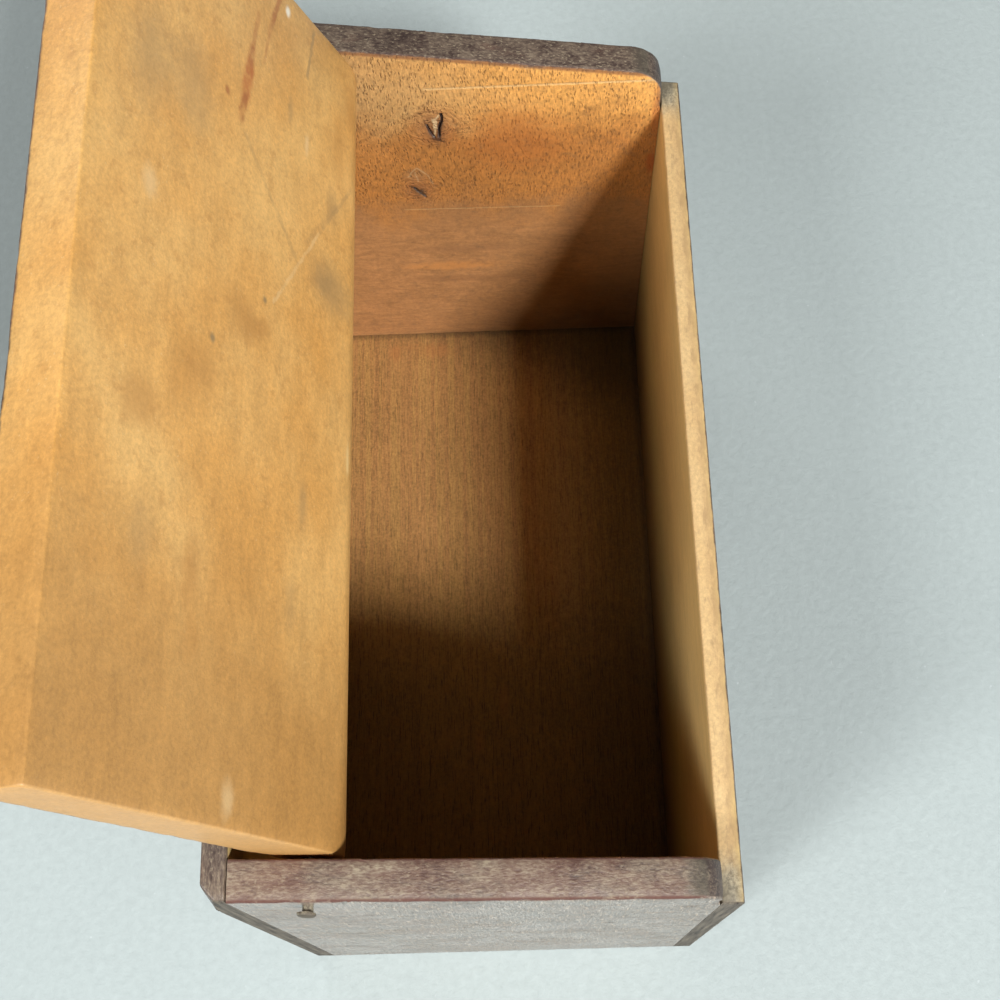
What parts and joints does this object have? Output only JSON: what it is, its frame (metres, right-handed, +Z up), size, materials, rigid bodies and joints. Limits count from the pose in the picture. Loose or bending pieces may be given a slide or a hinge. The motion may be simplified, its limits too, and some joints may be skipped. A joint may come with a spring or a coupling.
{
  "type": "recipe box",
  "caption": "Wooden card box with a slanted top; its one-board lid fits between the end boards and swings on a nail at each end.",
  "frame": {"origin": "centre of the underside of the box, midway between the end boards' outer faces and between the front and back walls' outer faces", "axes": "+Z up, X along the box with the left end at -X, and the low front wall facing -Y; the lid stands open at rest"},
  "size_m": [0.1496, 0.09, 0.1624],
  "materials": {
    "stained_wood": "dark stain, worn along the edges, bare inside",
    "bottom_wood": "bare, fine straight grain",
    "lid_wood": "bare underside, stained outer face",
    "nail_steel": "dull, darkened with age"
  },
  "bodies": {
    "box": {"left_end": "stained_wood", "right_end": "stained_wood", "front_wall": "stained_wood", "back_wall": "stained_wood", "bottom_board": "bottom_wood", "left_hinge_nail": "nail_steel", "right_hinge_nail": "nail_steel", "front_left_brad_1": "nail_steel", "front_left_brad_2": "nail_steel", "front_left_brad_3": "nail_steel", "front_right_brad_1": "nail_steel", "front_right_brad_2": "nail_steel", "front_right_brad_3": "nail_steel", "back_left_brad_1": "nail_steel", "back_left_brad_2": "nail_steel", "back_left_brad_3": "nail_steel", "back_right_brad_1": "nail_steel", "back_right_brad_2": "nail_steel", "back_right_brad_3": "nail_steel", "bottom_front_brad_1": "nail_steel", "bottom_front_brad_2": "nail_steel", "bottom_front_brad_3": "nail_steel", "bottom_back_brad_1": "nail_steel", "bottom_back_brad_2": "nail_steel", "bottom_back_brad_3": "nail_steel"},
    "lid": {"lid": "lid_wood"}
  },
  "joints": [
    {"name": "lid_hinge", "type": "hinge", "parent": "box", "child": "lid", "pos_m": [0, 0.0242, 0.10252], "axis": [-1, 0, 0], "range_deg": [-122.1, 14]}
  ]
}
